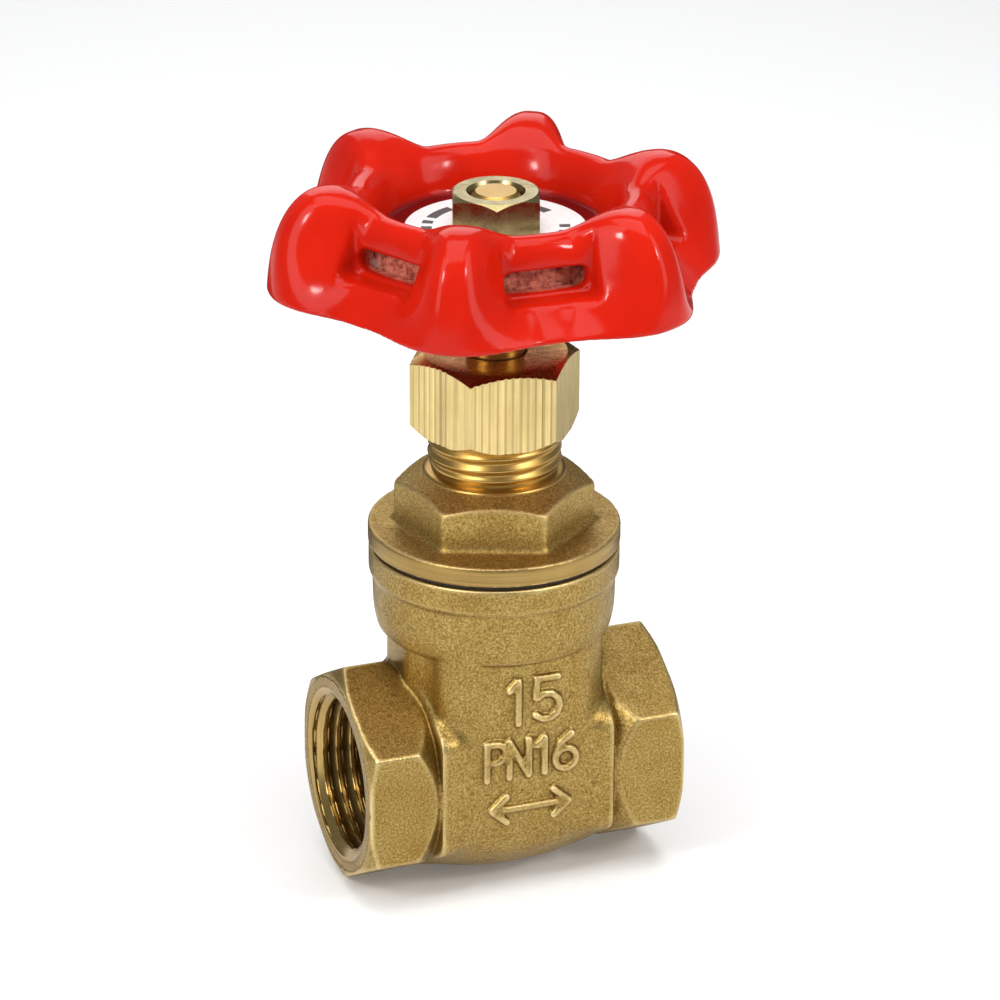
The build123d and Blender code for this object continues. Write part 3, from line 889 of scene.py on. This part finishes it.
def place_parts(nodes, links, place):
    """Distance from the stem axis and height, both in metres."""
    split = add_node(nodes, "ShaderNodeSeparateXYZ")
    links.new(place, split.inputs[0])
    flat = add_node(nodes, "ShaderNodeVectorMath", operation="MULTIPLY")
    flat.inputs[1].default_value = (1, 1, 0)
    links.new(place, flat.inputs[0])
    length = add_node(nodes, "ShaderNodeVectorMath", operation="LENGTH")
    links.new(flat.outputs["Vector"], length.inputs[0])
    return length.outputs["Value"], split.outputs["Z"]


def product(nodes, links, *values):
    result = values[0]
    for value in values[1:]:
        node = add_node(nodes, "ShaderNodeMath", operation="MULTIPLY")
        links.new(result, node.inputs[0])
        links.new(value, node.inputs[1])
        result = node.outputs[0]
    return result


def cast_brass(name, tone, roughness):
    """Sandblasted brass casting: fine grain on a satin gold metal, brighter on edges, partly from rubbed wear
    and partly as a painted highlight, with painted shade in hollows.
    """
    material, nodes, links = new_material(name)
    shader = nodes["Principled BSDF"]
    place = object_coordinates(nodes)
    grain = noise(nodes, links, place, 3600, 2.0, 0.7)
    patches = noise(nodes, links, place, 240, 4.0, 0.6)
    base = ramp(nodes, links, grain, (
        (0.28, (0.20, 0.128, 0.034)), (0.50, (0.42, 0.290, 0.086)), (0.74, (0.68, 0.505, 0.190))))
    tint = ramp(nodes, links, patches, (
        (0.3, (0.88 * tone, 0.81 * tone, 0.70 * tone)), (0.7, (tone, tone, tone))))
    colour = mix_colour(nodes, links, 1.0, base, tint, "MULTIPLY")
    # Light gold on edges: partly rubbed wear, partly a painted highlight.
    colour = mix_colour(nodes, links, bend(nodes, links, 0.006, 0.035), colour, (0.80, 0.62, 0.30))
    # Dark brown in hollows and creases: painted shade.
    colour = mix_colour(nodes, links, bend(nodes, links, -0.006, -0.04), colour, (0.16, 0.085, 0.018))
    links.new(colour, shader.inputs["Base Color"])
    links.new(remap(nodes, links, patches, 0.3, 0.7, roughness + 0.05, roughness - 0.05),
              shader.inputs["Roughness"])
    shader.inputs["Metallic"].default_value = 1.0
    coarse = noise(nodes, links, place, 1300, 2.0, 0.6)
    normal = bump(nodes, links, coarse, 0.00008, 0.45)
    normal = bump(nodes, links, grain, 0.00005, 0.7, normal)
    links.new(normal, shader.inputs["Normal"])
    return material


def machined_brass(name, base, roughness, mark_scale, stretch, spun=0.0):
    """Bright machined brass; stretch scales the noise along each axis to draw tool marks; spun is how
    far reflections are drawn out across marks that run round the stem axis."""
    material, nodes, links = new_material(name)
    shader = nodes["Principled BSDF"]
    place = object_coordinates(nodes)
    mapping = add_node(nodes, "ShaderNodeMapping", inputs={"Scale": stretch})
    links.new(place, mapping.inputs["Vector"])
    marks = noise(nodes, links, mapping.outputs["Vector"], mark_scale, 3.0, 0.6)
    clouds = noise(nodes, links, place, 220, 3.0, 0.6)
    dark = tuple(c * 0.80 for c in base)
    light = tuple(min(1.0, c * 1.05) for c in base)
    tone = ramp(nodes, links, marks, ((0.3, dark), (0.65, light)))
    cloud = ramp(nodes, links, clouds, ((0.3, (0.90, 0.86, 0.80)), (0.65, (1.0, 1.0, 1.0))))
    colour = mix_colour(nodes, links, 1.0, tone, cloud, "MULTIPLY")
    # Darker in hollows, such as the nut's grooves: painted shade.
    colour = mix_colour(nodes, links, bend(nodes, links, -0.02, -0.12), colour, tuple(c * 0.55 for c in base))
    links.new(colour, shader.inputs["Base Color"])
    links.new(remap(nodes, links, marks, 0.3, 0.7, roughness * 1.35, roughness * 0.75),
              shader.inputs["Roughness"])
    shader.inputs["Metallic"].default_value = 1.0
    links.new(bump(nodes, links, marks, 0.00001, 0.4), shader.inputs["Normal"])
    if spun:
        shader.inputs["Anisotropic"].default_value = spun
        tangent = add_node(nodes, "ShaderNodeTangent", direction_type="RADIAL", axis="Z")
        links.new(tangent.outputs["Tangent"], shader.inputs["Tangent"])
    return material


def red_paint():
    """Thick glossy paint on a casting, thin and dirty inside the slots, with painted shade round the plate.
    """
    material, nodes, links = new_material("red_paint")
    shader = nodes["Principled BSDF"]
    place = object_coordinates(nodes)
    peel = noise(nodes, links, place, 420, 3.0, 0.5)
    broad = noise(nodes, links, place, 120, 2.0, 0.5)
    dirt = noise(nodes, links, place, 900, 4.0, 0.7)
    colour = ramp(nodes, links, broad, ((0.3, (0.44, 0.008, 0.002)), (0.7, (0.53, 0.012, 0.003))))
    radius, height = place_parts(nodes, links, place)
    in_slots = product(nodes, links,
                       remap(nodes, links, radius, 15.2 * MM, 15.6 * MM, 0.0, 1.0),
                       remap(nodes, links, radius, 17.2 * MM, 18.0 * MM, 1.0, 0.0),
                       remap(nodes, links, height, 71.8 * MM, 72.4 * MM, 1.0, 0.0))
    # Dark maroon on the floor round the plate, where the recess is shaded: painted shade.
    painted_shade_round_plate = product(nodes, links,
                          remap(nodes, links, height, 68.8 * MM, 69.4 * MM, 1.0, 0.0),
                          remap(nodes, links, radius, 14.2 * MM, 14.8 * MM, 1.0, 0.0))
    grime = ramp(nodes, links, dirt, ((0.35, (0.22, 0.025, 0.015)), (0.65, (0.85, 0.30, 0.20))))
    colour = mix_colour(nodes, links, in_slots, colour, grime)
    # Painted shade round the plate.
    colour = mix_colour(nodes, links, painted_shade_round_plate, colour, (0.13, 0.004, 0.004))
    links.new(colour, shader.inputs["Base Color"])
    links.new(remap(nodes, links, broad, 0.3, 0.7, 0.17, 0.11), shader.inputs["Roughness"])
    shader.inputs["Specular IOR Level"].default_value = 0.16
    normal = bump(nodes, links, peel, 0.00008, 0.35)
    normal = bump(nodes, links, broad, 0.0004, 0.25, normal)
    links.new(normal, shader.inputs["Normal"])
    return material


def plain_material(name, base, roughness, grain_scale, depth):
    """Non-metal with a slight mottle and a fine grain."""
    material, nodes, links = new_material(name)
    shader = nodes["Principled BSDF"]
    place = object_coordinates(nodes)
    grain = noise(nodes, links, place, grain_scale, 3.0, 0.6)
    low = tuple(c * 0.88 for c in base)
    links.new(ramp(nodes, links, grain, ((0.3, low), (0.7, base))), shader.inputs["Base Color"])
    links.new(remap(nodes, links, grain, 0.3, 0.7, roughness * 1.15, roughness * 0.9),
              shader.inputs["Roughness"])
    links.new(bump(nodes, links, grain, depth, 0.5), shader.inputs["Normal"])
    return material


def paint_node(node, material):
    """Gives a node of the frame a better material."""
    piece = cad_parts[node]
    for slot in piece.material_slots:
        slot.material = material
    if not piece.material_slots:
        piece.data.materials.append(material)


# ---- floor, lights and camera ----

VIEW_AZIMUTH, VIEW_ELEVATION, VIEW_ROLL = -21.03, 23.35, 0.32
VIEW_DISTANCE = 625.0
VIEW_TARGET = (0.648, -0.249, 33.696)
LENS = 184.87


def direction_to(azimuth, elevation):
    """Unit direction from the object; azimuth 0 is towards -Y and grows towards +X."""
    a, e = math.radians(azimuth), math.radians(elevation)
    return np.array([math.sin(a) * math.cos(e), -math.cos(a) * math.cos(e), math.sin(e)])


def aim(piece, location, target, roll=0.0):
    """Places a light or camera so that it looks at the target with +Z up."""
    back = (location - target) / np.linalg.norm(location - target)
    right = np.cross((0, 0, 1), back)
    right = right / np.linalg.norm(right)
    up = np.cross(back, right)
    c, s = math.cos(math.radians(roll)), math.sin(math.radians(roll))
    right, up = right * c + up * s, up * c - right * s
    rows = [(right[k], up[k], back[k], location[k] * MM) for k in range(3)]
    piece.matrix_world = Matrix(rows + [(0, 0, 0, 1)])


def make_camera():
    data = bpy.data.cameras.new("camera")
    data.lens = LENS
    data.sensor_width = 36
    data.clip_start = 0.01
    camera = bpy.data.objects.new("camera", data)
    bpy.context.scene.collection.objects.link(camera)
    target = np.array(VIEW_TARGET)
    aim(camera, target + VIEW_DISTANCE * direction_to(VIEW_AZIMUTH, VIEW_ELEVATION), target, VIEW_ROLL)
    bpy.context.scene.camera = camera


# Name, azimuth, elevation, distance, width and height, power
LIGHTS = (
    ("key_left", -70, 30, 420, (160, 420), 0.72),
    ("key_right", 44, 28, 420, (150, 420), 0.62),
    ("top", -20, 82, 460, (420, 420), 1.7),
    ("rim_back", 165, 35, 480, (360, 300), 0.6),
    ("spark_left", -58, 34, 380, (24, 60), 0.32),
    ("spark_right", 30, 32, 380, (24, 60), 0.32),
)


def make_light(name, azimuth, elevation, distance, size, power):
    data = bpy.data.lights.new(name, "AREA")
    data.shape = "RECTANGLE"
    data.size = size[0] * MM
    data.size_y = size[1] * MM
    data.energy = power
    light = bpy.data.objects.new(name, data)
    bpy.context.scene.collection.objects.link(light)
    target = np.array((0.0, 0.0, 32.0))
    aim(light, target + distance * direction_to(azimuth, elevation), target)


def make_floor(material):
    bpy.ops.mesh.primitive_circle_add(vertices=96, radius=2.5, fill_type="NGON",
                                      location=(0, 0, (BODY_LOW[2] - 0.05) * MM))
    floor = bpy.context.object
    floor.name = "floor"
    floor.data.materials.append(material)


def make_flag(name, corners):
    """Dark card that shows only in mirror reflections, as a black flag does beside a product."""
    black, nodes, _ = new_material(name + "_black")
    nodes["Principled BSDF"].inputs["Base Color"].default_value = (0.02, 0.02, 0.02, 1)
    nodes["Principled BSDF"].inputs["Roughness"].default_value = 0.9
    mesh = bpy.data.meshes.new(name)
    mesh.from_pydata([tuple(c * MM for c in corner) for corner in corners], [], [(0, 1, 2, 3)])
    mesh.materials.append(black)
    flag = bpy.data.objects.new(name, mesh)
    bpy.context.scene.collection.objects.link(flag)
    flag.visible_camera = False
    flag.visible_diffuse = False
    flag.visible_shadow = False
    flag.visible_transmission = False


def behind(right, depth, height):
    """Point at a distance to the right and behind the object as the camera sees it."""
    a = math.radians(VIEW_AZIMUTH)
    return (right * math.cos(a) - depth * math.sin(a), right * math.sin(a) + depth * math.cos(a), height)


def make_flags():
    floor_z = BODY_LOW[2] + 0.5
    make_flag("flag_floor", [behind(-150, 70, floor_z), behind(88, 70, floor_z),
                             behind(160, 480, floor_z), behind(-260, 480, floor_z)])
    make_flag("flag_back", [behind(-260, 480, floor_z), behind(260, 480, floor_z),
                            behind(260, 480, 270), behind(-260, 480, 270)])


def make_stage():
    floor_paint, nodes, _ = new_material("floor_paint")
    shader = nodes["Principled BSDF"]
    shader.inputs["Base Color"].default_value = (0.86, 0.86, 0.86, 1)
    shader.inputs["Roughness"].default_value = 0.9
    shader.inputs["Emission Color"].default_value = (1, 1, 1, 1)
    shader.inputs["Emission Strength"].default_value = 0.10
    make_floor(floor_paint)
    for light in LIGHTS:
        make_light(*light)
    make_flags()
    world = bpy.data.worlds.new("studio")
    bpy.context.scene.world = world
    world.use_nodes = True
    background = world.node_tree.nodes["Background"]
    background.inputs["Color"].default_value = (0.9, 0.92, 0.95, 1)
    background.inputs["Strength"].default_value = 0.28
    bpy.context.scene.view_settings.view_transform = "Standard"


# ---- assembly ----

GOLD = (0.74, 0.50, 0.17)
PALE = (0.76, 0.59, 0.26)
AMBER = (0.52, 0.33, 0.095)
DULL = (0.46, 0.32, 0.115)
RIM = (0.37, 0.25, 0.085)
OLIVE = (0.34, 0.28, 0.13)

body_casting = cast_brass("cast_brass_body", 0.81, 0.41)
# The bonnet uses the body's brass painted lighter (tone 1.0 against 0.81): painted light where the handwheel
# shades it.
bonnet_casting = cast_brass("cast_brass_bonnet_painted_lighter", 1.0, 0.52)
turned_gold = machined_brass("turned_brass", GOLD, 0.22, 900, (0.06, 0.06, 3.0))
drawn_brass = machined_brass("drawn_brass", PALE, 0.34, 1400, (1.0, 1.0, 0.03))
faced_brass = machined_brass("faced_brass", GOLD, 0.24, 700, (1.0, 1.0, 1.0), spun=0.6)
neck_brass = machined_brass("neck_brass", AMBER, 0.30, 900, (0.06, 0.06, 3.0))
bored_brass = machined_brass("bored_brass", DULL, 0.26, 900, (3.0, 0.06, 0.06))
rim_brass = machined_brass("rim_brass", RIM, 0.36, 900, (0.06, 0.06, 3.0))
olive_brass = machined_brass("olive_brass", OLIVE, 0.26, 700, (1.0, 1.0, 1.0))
paint = red_paint()
fibre = plain_material("gasket_fibre", (0.045, 0.040, 0.035), 0.8, 3000, 0.00003)
white_plate = plain_material("white_plate", (0.86, 0.86, 0.85), 0.4, 1500, 0.00001)
ink = plain_material("print_ink", (0.05, 0.05, 0.055), 0.5, 2500, 0.00001)
packing = plain_material("packing_fibre", (0.80, 0.79, 0.74), 0.7, 2500, 0.00003)

make_body(body_casting)
for end_name, end_side in (("inlet_thread", -1), ("outlet_thread", 1)):
    make_port_thread(end_name, end_side, bored_brass)
make_bonnet(bonnet_casting, rim_brass)
make_neck(neck_brass)
make_packing_nut(drawn_brass, faced_brass)
make_handwheel(paint)
make_plate_print(ink)
paint_node("stem", neck_brass)
for node_name in ("retaining_ring", "thrust_washer", "packing_gland"):
    paint_node(node_name, turned_gold)
paint_node("wedge", body_casting)
paint_node("handwheel_nut", olive_brass)
paint_node("id_plate", white_plate)
paint_node("bonnet_gasket", fibre)
for node_name in ("lower", "middle", "upper"):
    paint_node("packing_ring_" + node_name, packing)

make_stage()
make_camera()
